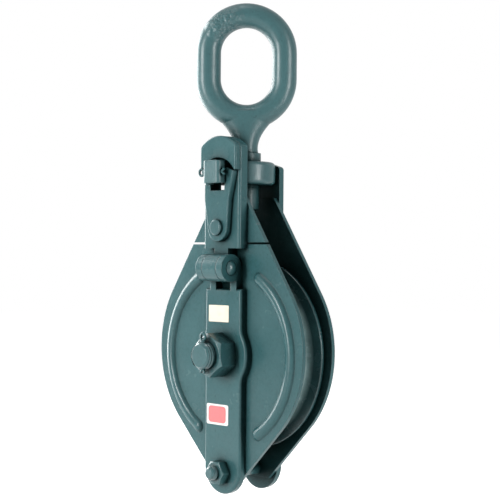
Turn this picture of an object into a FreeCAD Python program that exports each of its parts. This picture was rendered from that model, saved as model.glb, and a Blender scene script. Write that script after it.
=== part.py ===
"""Snatch block: a pulley block whose front side plate hinges open to take a rope.

The block hangs by a swivel eye. Sizes are in millimetres. Heights are measured from
the sheave's centre, "front" is a distance in front of the sheave's middle plane (-Y),
and every finished piece is then lowered so that the origin is the eye's hanging seat.
"""
import FreeCAD, Part
import os
import re

import Sketcher

doc = FreeCAD.newDocument("SnatchBlock")
sheet = doc.addObject("Spreadsheet::Sheet", "Sizes")

# Driving dimensions, in millimetres and degrees
SIZES = {
    # Sheave and its bearing
    "sheave_dia": 150.0,
    "sheave_width": 27.0,
    "rope_dia": 14.0,
    "groove_depth": 13.5,
    "groove_flank": 22.5,
    "rim_height": 21.0,
    "web_thickness": 19.0,
    "hub_dia": 46.0,
    "lip_round": 1.0,
    "bush_wall": 4.0,
    "pin_dia": 20.0,
    "run_gap": 0.05,
    "side_gap": 0.8,
    "slide_gap": 0.2,
    # Side plates and straps
    "cheek_thickness": 3.2,
    "cheek_cover": 7.0,
    "cheek_rise": 3.0,
    "upper_slope": 34.0,
    "lower_slope": 44.8,
    "tip_below_tie": 7.5,
    "strap_thickness": 6.0,
    "strap_width": 41.0,
    "strap_round": 2.0,
    "pin_lobe": 26.8,
    "lobe_blend": 14.0,
    "split_rise": 12.3,
    "split_gap": 1.6,
    "gate_cheek_height": 35.6,
    "bead_inset": 13.2,
    "bead_width": 10.4,
    "bead_height": 3.0,
    "bead_end_angle": 29.8,
    # Tie bolt at the bottom
    "tie_room": 11.5,
    "tie_body_dia": 11.0,
    "tie_dia": 10.0,
    "tie_nut_flats": 17.0,
    "tie_nut_height": 8.0,
    "tie_head_height": 6.6,
    "tie_end": 14.0,
    "foot_below_tie": 17.5,
    # Centre pin hardware
    "nut_flats": 30.0,
    "nut_height": 16.4,
    "nut_angle": 5.0,
    "head_height": 12.5,
    "pin_end": 24.6,
    "pin_chamfer": 1.4,
    "split_pin_dia": 4.0,
    "split_pin_wire": 2.0,
    "split_pin_eye": 4.6,
    "split_pin_tail": 4.0,
    # Gate hinge
    "hinge_drop": 7.0,
    "hinge_gap": 0.3,
    "knuckle_dia": 21.5,
    "knuckle_width": 15.8,
    "barrel_length": 30.2,
    "knuckle_gap": 0.4,
    "hinge_pin_dia": 8.0,
    "hinge_head_dia": 11.5,
    "hinge_head_height": 2.4,
    "lower_strap_drop": 23.3,
    "gate_end_rise": 8.3,
    # Gate strap, its cap and slot
    "gate_thickness": 8.2,
    "gate_above_cross": 19.4,
    "gate_crown": 30.0,
    "rear_crown": 54.0,
    "crown_corner": 3.0,
    "slot_gap": 0.4,
    "slot_drop": 5.2,
    "slot_lift": 0.3,
    "cap_thickness": 4.7,
    "cap_leg": 1.7,
    "cap_round": 1.4,
    "arch_drop": 7.6,
    "arch_rise": 10.0,
    # Crosshead with its front lug
    "cross_rise": 76.9,
    "cross_height": 18.2,
    "cross_radius": 23.5,
    "cross_round": 3.5,
    "lug_width": 18.4,
    "lug_height": 17.4,
    "lug_thickness": 7.5,
    "lug_round": 3.2,
    "lug_gap": 0.4,
    "lug_top_drop": 0.4,
    "neck_width": 13.6,
    "neck_height": 13.4,
    "tenon_width": 16.0,
    "tenon_height": 12.0,
    "tenon_proud": 1.5,
    # Latch lever and its rivet
    "latch_rise": 24.6,
    "latch_thickness": 4.5,
    "latch_foot": 11.0,
    "latch_left": 15.0,
    "latch_waist": 12.6,
    "latch_waist_rise": 21.0,
    "finger_out": 18.0,
    "finger_out_rise": 43.9,
    "finger_tip": 9.0,
    "finger_tip_rise": 46.9,
    "finger_in": 7.5,
    "notch_rise": 29.2,
    "horn_in": 8.0,
    "horn_rise": 33.7,
    "latch_edge": 0.8,
    "rivet_dia": 8.0,
    "rivet_head_dia": 12.4,
    "rivet_head_height": 2.6,
    "rivet_bevel": 0.8,
    # Swivel eye
    "eye_width": 40.8,
    "eye_height": 61.3,
    "eye_bar": 19.7,
    "eye_angle": 47.0,
    "shank_dia": 19.8,
    "stem_dia": 16.0,
    "neck_length": 38.7,
    "neck_flare": 29.0,
    "neck_waist": 16.5,
    "neck_ease": 0.3,
    "flare_start": 8.0,
    "collar_dia": 24.0,
    "collar_thickness": 7.0,
    "washer_dia": 22.0,
    "washer_thickness": 2.0,
    "swivel_nut_dia": 21.4,
    "swivel_nut_height": 17.0,
    "stem_end": 1.5,
    "nut_pin_dia": 4.0,
}

# Sizes worked out from the driving ones
DERIVED = {
    "sheave_rad": "sheave_dia / 2",
    "sheave_half": "sheave_width / 2",
    "web_half": "web_thickness / 2",
    "rim_in": "sheave_rad - rim_height",
    "hub_rad": "hub_dia / 2",
    "pin_rad": "pin_dia / 2",
    "pin_bore": "pin_rad + run_gap",
    "bush_rad": "pin_bore + bush_wall",
    "groove_rad": "0.53 * rope_dia",
    "groove_mid": "sheave_rad - groove_depth + groove_rad",
    "groove_turn": "groove_mid - groove_rad * sin(groove_flank)",
    "groove_turn_half": "groove_rad * cos(groove_flank)",
    "groove_mouth": "groove_turn_half + (sheave_rad - groove_turn) * tan(groove_flank)",
    "cheek_radius": "sheave_rad + cheek_cover",
    "split_height": "sheave_rad + split_rise",
    "hinge_height": "sheave_rad - hinge_drop",
    "lower_strap_top": "sheave_rad - lower_strap_drop",
    "gate_end": "sheave_rad + gate_end_rise",
    "latch_height": "sheave_rad + latch_rise",
    "cross_top": "sheave_rad + cross_rise",
    "gate_top": "cross_top + gate_above_cross",
    "arch_end": "cross_top - arch_drop",
    "tie_drop": "sheave_rad + tie_room + tie_body_dia / 2",
    "foot_drop": "tie_drop + foot_below_tie - strap_half",
    "cheek_in": "sheave_half + side_gap",
    "cheek_out": "cheek_in + cheek_thickness",
    "strap_out": "cheek_out + strap_thickness",
    "gate_out": "cheek_out + gate_thickness",
    "strap_half": "strap_width / 2",
    "upper_turn_x": "cheek_radius * cos(upper_slope)",
    "upper_turn_z": "cheek_rise + cheek_radius * sin(upper_slope)",
    "lower_turn_x": "cheek_radius * cos(lower_slope)",
    "lower_turn_z": "cheek_rise - cheek_radius * sin(lower_slope)",
    "split_low": "split_height - split_gap / 2",
    "split_high": "split_height + split_gap / 2",
    "cheek_peak": "split_high + gate_cheek_height",
    "split_low_x": "upper_turn_x - (split_low - upper_turn_z) * tan(upper_slope)",
    "split_high_x": "upper_turn_x - (split_high - upper_turn_z) * tan(upper_slope)",
    "peak_x": "upper_turn_x - (cheek_peak - upper_turn_z) * tan(upper_slope)",
    "tip_z": "-tie_drop - tip_below_tie",
    "cheek_tip": "lower_turn_x - (lower_turn_z - tip_z) * tan(lower_slope)",
    "bead_tube": "(bead_width * bead_width / 4 + bead_height * bead_height) / (2 * bead_height)",
    "bead_hollow": "max(bead_tube - cheek_thickness; 0.2 * bead_tube)",
    "bead_middle": "cheek_out + bead_height - bead_tube",
    "bead_radius": "cheek_radius - bead_inset",
    "bead_span": "180 - 2 * bead_end_angle",
    "bead_end_x": "bead_radius * sin(bead_end_angle)",
    "bead_end_z": "bead_radius * cos(bead_end_angle)",
    "bead_reach": "bead_radius + bead_width",
    "tie_rad": "tie_dia / 2",
    "tie_bore": "tie_rad + run_gap",
    "tie_body_rad": "tie_body_dia / 2",
    "tie_body_bore": "tie_body_rad + run_gap",
    "knuckle_rad": "knuckle_dia / 2",
    "knuckle_half": "knuckle_width / 2",
    "outer_knuckle": "knuckle_half + knuckle_gap",
    "barrel_half": "barrel_length / 2",
    "outer_knuckle_width": "barrel_half - outer_knuckle",
    "hinge_front": "cheek_out + hinge_gap + knuckle_rad",
    "hinge_rad": "hinge_pin_dia / 2",
    "hinge_bore": "hinge_rad + run_gap",
    "gate_corner": "gate_top - gate_crown + sqrt(gate_crown * gate_crown - strap_half * strap_half)",
    "crown_middle": "gate_top - gate_crown",
    "rear_corner": "cross_top - rear_crown + sqrt(rear_crown * rear_crown - strap_half * strap_half)",
    "rear_middle": "cross_top - rear_crown",
    "arch_half": "strap_half - cap_leg",
    "arch_radius": "(arch_half * arch_half + arch_rise * arch_rise) / (2 * arch_rise)",
    "arch_middle": "arch_end + arch_rise - arch_radius",
    "cap_front": "gate_out + cap_thickness",
    "cross_low": "cross_top - cross_height",
    "lug_half": "lug_width / 2",
    "lug_top": "cross_top - lug_top_drop",
    "lug_low": "lug_top - lug_height",
    "neck_half": "neck_width / 2",
    "slot_half": "lug_half + slot_gap",
    "slot_top": "cross_top + slot_lift",
    "slot_low": "lug_low - slot_drop",
    "latch_back": "gate_out + slide_gap",
    "latch_front": "latch_back + latch_thickness",
    "lug_back": "latch_front + lug_gap",
    "lug_front": "lug_back + lug_thickness",
    "cross_front": "cheek_out - slide_gap",
    "cross_front_half": "sqrt(cross_radius * cross_radius - cross_front * cross_front)",
    "cross_back_half": "sqrt(cross_radius * cross_radius - cheek_out * cheek_out)",
    "tenon_half": "tenon_width / 2",
    "tenon_low": "cross_low + (cross_height - tenon_height) / 2",
    "finger_out_z": "latch_height + finger_out_rise",
    "finger_tip_z": "latch_height + finger_tip_rise",
    "latch_waist_z": "latch_height + latch_waist_rise",
    "notch_z": "latch_height + notch_rise",
    "horn_z": "latch_height + horn_rise",
    "rivet_rad": "rivet_dia / 2",
    "rivet_bore": "rivet_rad + run_gap",
    "pin_eye_at": "strap_out + nut_height + (pin_end - nut_height) / 2",
    "split_bore": "split_pin_dia / 2 + run_gap",
    "lock_front": "lug_back + lug_thickness / 2",
    "lock_height": "lug_low + lug_height / 2",
    "bar_rad": "eye_bar / 2",
    "eye_side": "eye_width / 2 + bar_rad",
    "collar_low": "cross_top + slide_gap",
    "collar_high": "collar_low + collar_thickness",
    "eye_low": "collar_high + neck_length",
    "eye_straight": "eye_height - eye_width",
    "eye_arc_low": "eye_low + eye_width / 2",
    "eye_arc_high": "eye_arc_low + eye_straight",
    "seat_height": "eye_low + eye_height",
    "flare_low": "collar_high + flare_start",
    "flare_high": "eye_low - bar_rad / 2",
    "flare_mid": "flare_low + (flare_high - flare_low) / 2",
    "shank_rad": "shank_dia / 2",
    "stem_rad": "stem_dia / 2",
    "stem_bore": "stem_rad + run_gap",
    "washer_high": "cross_low - slide_gap",
    "washer_low": "washer_high - washer_thickness",
    "swivel_low": "washer_low - swivel_nut_height",
    "stem_low": "swivel_low - stem_end",
    "nut_pin_bore": "nut_pin_dia / 2 + run_gap",
    "nut_pin_z": "swivel_low + swivel_nut_height / 2",
}

NAME = re.compile(r"[a-z]\w*_\w+")
FORWARD = FreeCAD.Rotation(FreeCAD.Vector(1, 0, 0), 90)
BACKWARD = FreeCAD.Rotation(FreeCAD.Vector(1, 0, 0), -90)
SIDEWAYS = FreeCAD.Rotation(FreeCAD.Vector(0, 1, 0), 90)
UPRIGHT = FreeCAD.Rotation()
finished = []


def fill_sheet():
    """Write every size into the sheet under its own name."""
    row = 1
    for name, value in SIZES.items():
        sheet.set("A%d" % row, name.replace("_", " "))
        sheet.set("B%d" % row, str(value))
        sheet.setAlias("B%d" % row, name)
        row += 1
    for name, text in DERIVED.items():
        sheet.set("A%d" % row, name.replace("_", " "))
        sheet.set("B%d" % row, "=" + text)
        sheet.setAlias("B%d" % row, name)
        row += 1
    doc.recompute()


def number(text):
    """Value of a sum of products of sheet names and plain numbers."""
    total = 0.0
    for sign, term in re.findall(r"([+-]?)\s*([^+\-\s][^+\-]*)", text):
        product = -1.0 if sign == "-" else 1.0
        for factor in term.split("*"):
            factor = factor.strip()
            product *= float(sheet.get(factor)) if factor[0].isalpha() else float(factor)
        total += product
    return total


def formula(text):
    """The same sum as an expression that points at the sheet."""
    return NAME.sub(r"Sizes.\g<0>", text)


def bind(thing, sizes):
    """Tie properties of an object to sheet names."""
    for key, text in sizes.items():
        thing.setExpression(key, formula(text))


def primitive(kind, name, sizes, at=("0", "0", "0"), turn=UPRIGHT):
    """A Part primitive with bound sizes and a bound place (x, y, z)."""
    thing = doc.addObject("Part::" + kind, name)
    thing.Placement = FreeCAD.Placement(FreeCAD.Vector(), turn)
    bind(thing, sizes)
    bind(thing, {"Placement.Base." + axis: text for axis, text in zip("xyz", at)})
    return thing


def rod(name, radius, length, at, turn):
    """A round bar."""
    return primitive("Cylinder", name, {"Radius": radius, "Height": length}, at, turn)


def fuse(name, things):
    """One solid from several."""
    whole = doc.addObject("Part::MultiFuse", name)
    whole.Shapes = things
    whole.Refine = True
    return whole


def cut(name, base, tools):
    """A solid less one or more others."""
    tool = tools[0] if len(tools) == 1 else fuse(name + "_cutter", tools)
    less = doc.addObject("Part::Cut", name)
    less.Base = base
    less.Tool = tool
    less.Refine = True
    return less


def common(name, first, second):
    """What two solids share."""
    shared = doc.addObject("Part::Common", name)
    shared.Base = first
    shared.Tool = second
    return shared


def finish(thing, label, turn=None):
    """Name a finished piece and lower it so that the eye's seat is the origin."""
    thing.Label = label
    if turn:
        thing.Placement = FreeCAD.Placement(FreeCAD.Vector(), FreeCAD.Rotation(FreeCAD.Vector(0, 0, 1), 1))
        thing.setExpression("Placement.Rotation.Angle", formula(turn))
    thing.setExpression("Placement.Base.z", formula("-seat_height"))
    finished.append(thing)
    return thing


def new_body(name):
    """An empty body."""
    return doc.addObject("PartDesign::Body", name)


def new_sketch(body, name, plane, depth):
    """A sketch on one of the body's own origin planes, moved along its normal."""
    sketch = body.newObject("Sketcher::SketchObject", name)
    origin_plane = [item for item in body.Origin.OriginFeatures if item.Role == plane][0]
    sketch.AttachmentSupport = [(origin_plane, "")]
    sketch.MapMode = "FlatFace"
    sketch.setExpression("AttachmentOffset.Base.z", formula(depth))
    return sketch


def pin_point(sketch, edge, end, place):
    """Hold a point of the sketch at bound distances from its origin."""
    for kind, text in zip(("DistanceX", "DistanceY"), place):
        index = sketch.addConstraint(Sketcher.Constraint(kind, -1, 1, edge, end, number(text)))
        sketch.setExpression("Constraints[%d]" % index, formula(text))


def pin_radius(sketch, edge, text):
    """Hold a radius of the sketch."""
    index = sketch.addConstraint(Sketcher.Constraint("Radius", edge, number(text)))
    sketch.setExpression("Constraints[%d]" % index, formula(text))


def arc_between(start, end, arc):
    """Arc from start to end about the arc's centre, and which of its ends is the start."""
    radius, centre_x, centre_y, clockwise = arc
    centre = FreeCAD.Vector(number(centre_x), number(centre_y), 0)
    circle = Part.Circle(centre, FreeCAD.Vector(0, 0, 1), number(radius))
    first = circle.parameter(end if clockwise else start)
    last = circle.parameter(start if clockwise else end)
    return Part.ArcOfCircle(circle, first, last), 2 if clockwise else 1


def outline(body, name, plane, depth, corners):
    """Closed outline. A corner is (x, y) or (x, y, arc) with the arc that leaves it."""
    sketch = new_sketch(body, name, plane, depth)
    points = [FreeCAD.Vector(number(corner[0]), number(corner[1]), 0) for corner in corners]
    ends = []
    for place, corner in enumerate(corners):
        start, end = points[place], points[(place + 1) % len(points)]
        if len(corner) == 3 and corner[2]:
            shape, start_end = arc_between(start, end, corner[2])
        else:
            shape, start_end = Part.LineSegment(start, end), 1
        edge = sketch.addGeometry(shape, False)
        ends.append((edge, start_end, 3 - start_end))
    for place, corner in enumerate(corners):
        edge, start_end, _ = ends[place]
        before, _, before_end = ends[place - 1]
        sketch.addConstraint(Sketcher.Constraint("Coincident", before, before_end, edge, start_end))
        pin_point(sketch, edge, start_end, corner[:2])
        if len(corner) == 3 and corner[2]:
            pin_radius(sketch, edge, corner[2][0])
    return sketch


def disc(body, name, plane, depth, place, radius):
    """A sketch with one circle."""
    sketch = new_sketch(body, name, plane, depth)
    centre = FreeCAD.Vector(number(place[0]), number(place[1]), 0)
    edge = sketch.addGeometry(Part.Circle(centre, FreeCAD.Vector(0, 0, 1), number(radius)), False)
    pin_point(sketch, edge, 3, place)
    pin_radius(sketch, edge, radius)
    return sketch


def mirrored(right):
    """Outline that is the same on both sides of the middle, from its right side."""
    left = []
    for place in reversed(range(len(right))):
        arc = right[place - 1][2] if place and len(right[place - 1]) == 3 else None
        if arc:
            arc = (arc[0], "-" + arc[1], arc[2], arc[3])
        left.append(("-" + right[place][0], right[place][1], arc))
    return right + left


def pad(body, sketch, length):
    """Thicken a sketch along its normal."""
    feature = body.newObject("PartDesign::Pad", sketch.Name + "_pad")
    feature.Profile = sketch
    feature.setExpression("Length", formula(length))
    doc.recompute()
    return feature


def bore_through(body, sketch):
    """Cut a sketch through the whole body, both ways."""
    feature = body.newObject("PartDesign::Pocket", sketch.Name + "_cut")
    feature.Profile = sketch
    feature.Type = "ThroughAll"
    feature.Midplane = True
    doc.recompute()
    return feature


def spin(body, sketch):
    """Turn a sketch about its own vertical axis."""
    feature = body.newObject("PartDesign::Revolution", sketch.Name + "_turned")
    feature.Profile = sketch
    feature.ReferenceAxis = (sketch, ["V_Axis"])
    feature.Angle = 360
    doc.recompute()
    return feature


def round_edges(body, base, radius, wanted, kind="Fillet"):
    """Round or bevel the edges of the last feature for which wanted(edge) holds."""
    doc.recompute()
    names = ["Edge%d" % (place + 1) for place, edge in enumerate(base.Shape.Edges) if wanted(edge)]
    if not names:
        raise ValueError("no edge to round on " + base.Name)
    feature = body.newObject("PartDesign::" + kind, base.Name + "_" + kind.lower())
    feature.Base = (base, names)
    feature.setExpression("Radius" if kind == "Fillet" else "Size", formula(radius))
    doc.recompute()
    return feature


def lies_at(edge, axis, value):
    """True for an edge that lies whole in the plane axis = value."""
    box = edge.BoundBox
    low = getattr(box, axis + "Min")
    high = getattr(box, axis + "Max")
    return abs(low - value) < 1e-4 and abs(high - value) < 1e-4


def runs_along(edge, axis):
    """True for a straight edge along one axis."""
    box = edge.BoundBox
    others = [name for name in "XYZ" if name != axis]
    flat = all(getattr(box, name + "Length") < 1e-4 for name in others)
    return flat and getattr(box, axis + "Length") > 1e-3


def hexagon(name, kind, height, at, turn):
    """A hexagon bar with the bevelled corners of a nut or bolt head on its outer end."""
    bar = primitive("Prism", name + "_bar", {"Circumradius": kind + "_corner", "Height": height}, at, turn)
    bar.Polygon = 6
    bevel = primitive("Cone", name + "_bevel",
                      {"Radius1": kind + "_bevel_base", "Radius2": kind + "_bevel", "Height": height},
                      at, turn)
    return common(name, bar, bevel)


def dome(name, at, turn):
    """The hinge pin's low round head, standing on its flat side."""
    return primitive("Sphere", name, {"Radius": "hinge_head_ball", "Angle1": "hinge_head_angle"}, at, turn)


def add_head_sizes():
    """Sizes of the hexagons' bevels and of the round head, from the heads' own sizes."""
    extra = {}
    for kind, flats, height in (("nut", "nut_flats", "nut_height"),
                                ("head", "nut_flats", "head_height"),
                                ("tie_nut", "tie_nut_flats", "tie_nut_height"),
                                ("tie_head", "tie_nut_flats", "tie_head_height")):
        extra[kind + "_corner"] = "%s / sqrt(3)" % flats
        extra[kind + "_bevel"] = "0.475 * %s" % flats
        extra[kind + "_bevel_base"] = "0.475 * %s + %s * tan(60)" % (flats, height)
    across = "hinge_head_dia"
    rise = "hinge_head_height"
    extra["hinge_head_ball"] = "(%s * %s / 4 + %s * %s) / (2 * %s)" % (across, across, rise, rise, rise)
    extra["hinge_head_sink"] = "hinge_head_ball - hinge_head_height"
    extra["hinge_head_angle"] = "asin(hinge_head_sink / hinge_head_ball)"
    DERIVED.update(extra)


def make_sheave():
    """Grooved wheel with a thin web between hub and rim, turned about Y."""
    body = new_body("sheave_body")
    groove = ("groove_rad", "groove_mid", "0", True)
    profile = [
        ("bush_rad", "-sheave_half"), ("bush_rad", "sheave_half"), ("hub_rad", "sheave_half"),
        ("hub_rad", "web_half"), ("rim_in", "web_half"), ("rim_in", "sheave_half"),
        ("sheave_rad", "sheave_half"), ("sheave_rad", "groove_mouth"),
        ("groove_turn", "groove_turn_half", (groove[0], groove[1], groove[2], False)),
        ("groove_turn", "-groove_turn_half"), ("sheave_rad", "-groove_mouth"),
        ("sheave_rad", "-sheave_half"), ("rim_in", "-sheave_half"), ("rim_in", "-web_half"),
        ("hub_rad", "-web_half"), ("hub_rad", "-sheave_half"),
    ]
    wheel = spin(body, outline(body, "sheave_profile", "XY_Plane", "0", profile))
    rim = number("sheave_rad")
    round_edges(body, wheel, "lip_round", lambda edge: abs(edge.BoundBox.XMax - rim) < 1e-3)
    finish(body, "sheave")


def make_tube(label, outer, inner, front, length):
    """A plain tube along Y that starts at a distance behind the middle plane."""
    at = ("0", front[0], front[1])
    outside = rod(label + "_outside", outer, length, at, FORWARD)
    inside = rod(label + "_inside", inner, length, at, FORWARD)
    finish(cut(label + "_tube", outside, [inside]), label)


def make_bolt(label, radius, head_kind, end, height, cross_hole=False, shoulder=""):
    """Hexagon head bolt from the rear strap to past the front nut.

    With a shoulder, the bolt is thicker as far as the front plate's inner face.
    """
    head = hexagon(label + "_head", head_kind, head_kind + "_height", ("0", "strap_out", height), BACKWARD)
    shank = rod(label + "_shank", radius, "2*strap_out + %s - pin_chamfer" % end,
                ("0", "strap_out", height), FORWARD)
    tip = primitive("Cone", label + "_tip",
                    {"Radius1": radius, "Radius2": radius + " - pin_chamfer", "Height": "pin_chamfer"},
                    ("0", "-strap_out - %s + pin_chamfer" % end, height), FORWARD)
    bars = [head, shank, tip]
    if shoulder:
        bars.append(rod(label + "_shoulder", shoulder, "strap_out + cheek_in", ("0", "strap_out", height),
                        FORWARD))
    whole = fuse(label + "_whole", bars)
    if cross_hole:
        drill = rod(label + "_drill", "split_bore", "2*pin_dia", ("0", "-pin_eye_at", "-pin_dia"), UPRIGHT)
        whole = cut(label + "_drilled", whole, [drill])
    finish(whole, label)


def make_nut(label, kind, bore, level, turn):
    """Hexagon nut on the front strap, turned about its axis by some degrees."""
    at = ("0", "-strap_out", level)
    facing = FORWARD.multiply(FreeCAD.Rotation(FreeCAD.Vector(0, 0, 1), number(turn)))
    nut = hexagon(label + "_hexagon", kind, kind + "_height", at, facing)
    hole = rod(label + "_hole", bore, kind + "_height", at, FORWARD)
    finish(cut(label + "_bored", nut, [hole]), label)


def make_split_pin(label, at_front, at_height, reach, along_x):
    """Split pin: a wire eye, a round shank of two legs and legs spread at the far end."""
    turn = FreeCAD.Rotation(FreeCAD.Vector(0, 1, 0), -90) if along_x else UPRIGHT
    flat = turn.multiply(FORWARD)
    if along_x:
        eye_at = ("-%s - split_pin_eye" % reach, "-" + at_front, at_height)
        low_at = (reach, "-" + at_front, at_height)
    else:
        eye_at = ("0", "-" + at_front, "%s + split_pin_eye" % reach)
        low_at = ("0", "-" + at_front, "-" + reach)
    eye = primitive("Torus", label + "_eye",
                    {"Radius1": "split_pin_eye - split_pin_wire", "Radius2": "0.5*split_pin_wire"},
                    eye_at, flat)
    shank = rod(label + "_shank", "0.5*split_pin_dia", "2*%s + split_pin_wire" % reach, low_at, turn)
    legs = []
    for side in (-1, 1):
        lean = turn.multiply(FreeCAD.Rotation(FreeCAD.Vector(0, 1, 0), 180 + 35 * side))
        leg = rod("%s_leg_%s" % (label, "left" if side < 0 else "right"), "0.5*split_pin_wire",
                  "split_pin_tail", low_at, lean)
        legs.append(leg)
    finish(fuse(label + "_whole", [eye, shank] + legs), label)


def lobe_corner(edge):
    """The four inward corners where the pin's lobe meets the strap's sides."""
    box = edge.BoundBox
    near_side = abs(abs(box.Center.x) - number("strap_half")) < 1e-3
    return runs_along(edge, "Y") and near_side and abs(box.Center.z) < number("pin_lobe")


def crown_edge(height):
    """The two corners where a strap's sides meet its rounded head."""
    corner = number(height)
    return lambda edge: runs_along(edge, "Y") and abs(edge.BoundBox.ZMax - corner) < 1e-3


def add_lower_strap(body, name, depth, top):
    """Strap from its round lower end up to a height, with the lobe round the pin."""
    bar = outline(body, name + "_bar", "XZ_Plane", depth,
                  mirrored([("strap_half", top[0]), ("strap_half", "-foot_drop")])
                  if len(top) == 1 else
                  mirrored([("strap_half", top[0]), ("strap_half", "-foot_drop")])[:-1]
                  + [("-strap_half", top[0], top[1])])
    pad(body, bar, "strap_thickness")
    foot = disc(body, name + "_foot", "XZ_Plane", depth, ("0", "-foot_drop"), "strap_half")
    pad(body, foot, "strap_thickness")
    lobe = disc(body, name + "_lobe", "XZ_Plane", depth, ("0", "0"), "pin_lobe")
    last = pad(body, lobe, "strap_thickness")
    return round_edges(body, last, "lobe_blend", lobe_corner)


def bore_strap(body, name, tie_hole):
    """Holes for the centre pin and the tie bolt."""
    bore_through(body, disc(body, name + "_pin_hole", "XZ_Plane", "0", ("0", "0"), "pin_bore"))
    return bore_through(body, disc(body, name + "_tie_hole", "XZ_Plane", "0", ("0", "-tie_drop"), tie_hole))


def make_rear_strap():
    """Long rear strap, from the tie bolt up to the crosshead that is riveted into it."""
    body = new_body("rear_strap_body")
    crown = ("rear_crown", "0", "rear_middle", True)
    last = add_lower_strap(body, "rear_strap", "-strap_out", ("rear_corner", crown))
    last = round_edges(body, last, "crown_corner", crown_edge("rear_corner"))
    face = -number("-strap_out")
    last = round_edges(body, last, "strap_round", lambda edge: lies_at(edge, "Y", face))
    bore_strap(body, "rear_strap", "tie_body_bore")
    tenon = mirrored([("tenon_half", "tenon_low + tenon_height"), ("tenon_half", "tenon_low")])
    bore_through(body, outline(body, "rear_strap_mortise", "XZ_Plane", "0", tenon))
    finish(body, "rear_strap")


def make_front_strap():
    """Lower front strap with the hinge's two outer knuckles."""
    body = new_body("front_strap_body")
    last = add_lower_strap(body, "front_strap", "cheek_out", ("lower_strap_top",))
    face = -number("strap_out")
    round_edges(body, last, "strap_round", lambda edge: lies_at(edge, "Y", face))
    for side in ("", "-"):
        word = "left" if side else "right"
        leaf = [(side + "outer_knuckle", "hinge_height"), (side + "barrel_half", "hinge_height"),
                (side + "barrel_half", "lower_strap_top - strap_round"),
                (side + "outer_knuckle", "lower_strap_top - strap_round")]
        pad(body, outline(body, "front_strap_leaf_" + word, "XZ_Plane", "cheek_out", leaf), "strap_thickness")
        start = "-barrel_half" if side else "outer_knuckle"
        knuckle = disc(body, "front_strap_knuckle_" + word, "YZ_Plane", start,
                       ("-hinge_front", "hinge_height"), "knuckle_rad")
        pad(body, knuckle, "outer_knuckle_width")
    bore_through(body, disc(body, "front_strap_hinge_bore", "YZ_Plane", "0",
                            ("-hinge_front", "hinge_height"), "hinge_bore"))
    bore_strap(body, "front_strap", "tie_bore")
    finish(body, "front_strap")


def bead(name, side, radius, front):
    """One arc of a pressed bead: a round bar bent to a circle, with ball ends."""
    start = (0 if side > 0 else 180) - number("0.5*bead_span")
    turn = FORWARD.multiply(FreeCAD.Rotation(FreeCAD.Vector(0, 0, 1), start))
    arc = primitive("Torus", name + "_arc",
                    {"Radius1": "bead_radius", "Radius2": radius, "Angle3": "bead_span"},
                    ("0", front, "0"), turn)
    balls = []
    for level in ("", "-"):
        ball = primitive("Sphere", "%s_ball_%s" % (name, "low" if level else "high"), {"Radius": radius},
                         (("" if side > 0 else "-") + "bead_end_x", front, level + "bead_end_z"))
        balls.append(ball)
    return [arc] + balls


def cheek_outline(top_x, top_z):
    """A side plate's outline: slanted shoulders, round sides, slanted to a blunt tip."""
    side = ("cheek_radius", "0", "cheek_rise", True)
    right = [(top_x, top_z), ("upper_turn_x", "upper_turn_z", side),
             ("lower_turn_x", "lower_turn_z"), ("cheek_tip", "tip_z")]
    return mirrored(right)


def make_cheek(label, top, facing):
    """Side plate with two pressed beads; facing is -1 for the front plate, 1 for the rear."""
    body = new_body(label + "_body")
    depth = "cheek_in" if facing < 0 else "-cheek_out"
    plate = outline(body, label + "_plate", "XZ_Plane", depth, cheek_outline(*top))
    pad(body, plate, "cheek_thickness")
    bore_strap(body, label, "tie_bore" if facing < 0 else "tie_body_bore")
    front = "-bead_middle" if facing < 0 else "bead_middle"
    ridges = bead(label + "_ridge_right", 1, "bead_tube", front)
    ridges += bead(label + "_ridge_left", -1, "bead_tube", front)
    hollows = bead(label + "_hollow_right", 1, "bead_hollow", front)
    hollows += bead(label + "_hollow_left", -1, "bead_hollow", front)
    box = {"Length": "2*bead_reach", "Width": "bead_tube + cheek_thickness", "Height": "2*bead_reach"}
    near = "-bead_tube - cheek_out" if facing < 0 else "cheek_in"
    outer_side = primitive("Box", label + "_outer_side", box, ("-bead_reach", near, "-bead_reach"))
    raised = common(label + "_raised", fuse(label + "_ridges", ridges), outer_side)
    whole = fuse(label + "_beaded", [body, raised])
    finish(cut(label + "_pressed", whole, hollows), label)


def make_gate_cheek():
    """Upper part of the front side plate, which opens with the gate."""
    body = new_body("gate_cheek_body")
    corners = mirrored([("peak_x", "cheek_peak"), ("split_high_x", "split_high")])
    pad(body, outline(body, "gate_cheek_plate", "XZ_Plane", "cheek_in", corners), "cheek_thickness")
    hole = disc(body, "gate_cheek_rivet_hole", "XZ_Plane", "0", ("0", "latch_height"), "rivet_bore")
    bore_through(body, hole)
    finish(body, "gate_cheek")


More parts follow.
